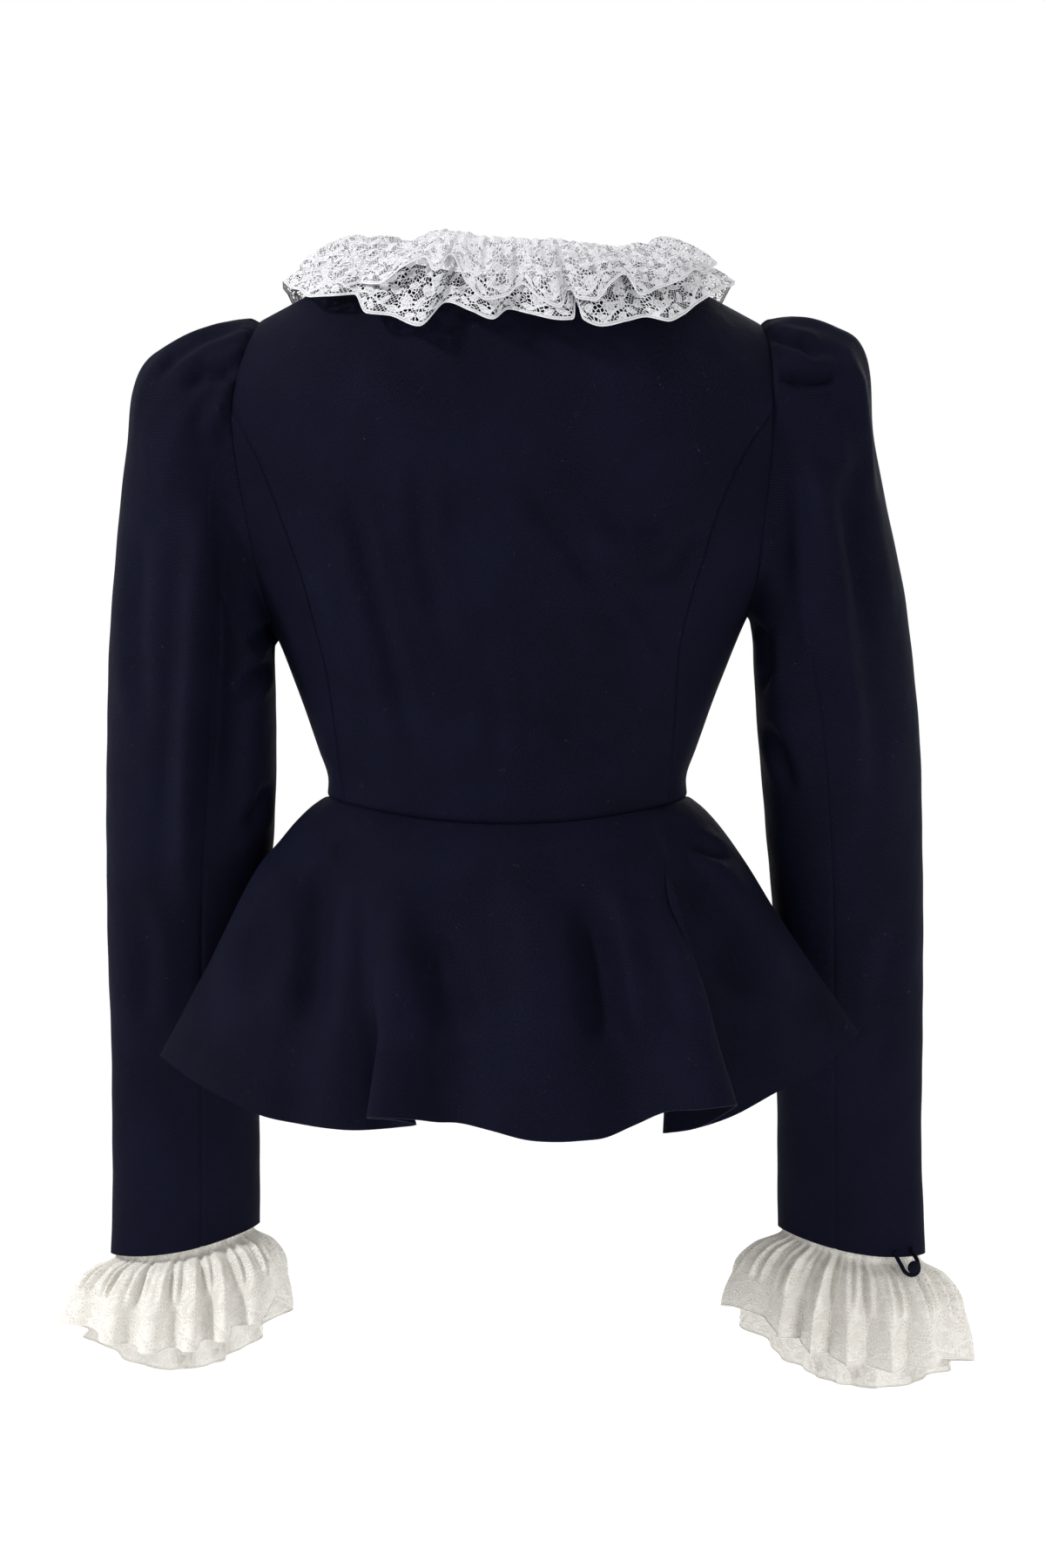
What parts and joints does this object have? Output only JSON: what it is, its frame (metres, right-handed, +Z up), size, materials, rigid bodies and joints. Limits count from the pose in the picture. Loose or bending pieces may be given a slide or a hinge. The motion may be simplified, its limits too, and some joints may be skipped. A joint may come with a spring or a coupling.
{
  "type": "peplum jacket",
  "caption": "Fitted navy peplum jacket with gathered sleeve heads, a tiered white lace collar ruffle and lace ruffles at the cuffs.",
  "frame": {"origin": "midway between the two neck points of the shoulder seams, where the wearer's shoulders carry the jacket", "axes": "+Z up, +X to the wearer's left, -Y the way the wearer faces"},
  "size_m": [0.6536, 0.3582, 0.8254],
  "materials": {
    "navy_wool": "matt brushed wool twill",
    "collar_lace": "matt white cotton lace",
    "cuff_lace": "matt ivory cotton lace",
    "navy_trim": "matt wool over a button mould and turned cord"
  },
  "bodies": {
    "root": {"back": "navy_wool", "side_back_left": "navy_wool", "side_back_right": "navy_wool", "side_front_left": "navy_wool", "side_front_right": "navy_wool", "front_left": "navy_wool", "front_right": "navy_wool", "peplum_back": "navy_wool", "peplum_front_left": "navy_wool", "peplum_front_right": "navy_wool", "top_sleeve_left": "navy_wool", "top_sleeve_right": "navy_wool", "under_sleeve_left": "navy_wool", "under_sleeve_right": "navy_wool", "collar_ruffle_lower": "collar_lace", "collar_ruffle_upper": "collar_lace", "cuff_ruffle_left": "cuff_lace", "cuff_ruffle_right": "cuff_lace", "cuff_button": "navy_trim", "cuff_loop": "navy_trim", "front_button_1": "navy_trim", "front_button_2": "navy_trim", "front_button_3": "navy_trim", "front_button_4": "navy_trim", "front_button_5": "navy_trim", "front_loop_1": "navy_trim", "front_loop_2": "navy_trim", "front_loop_3": "navy_trim", "front_loop_4": "navy_trim", "front_loop_5": "navy_trim"}
  },
  "joints": []
}
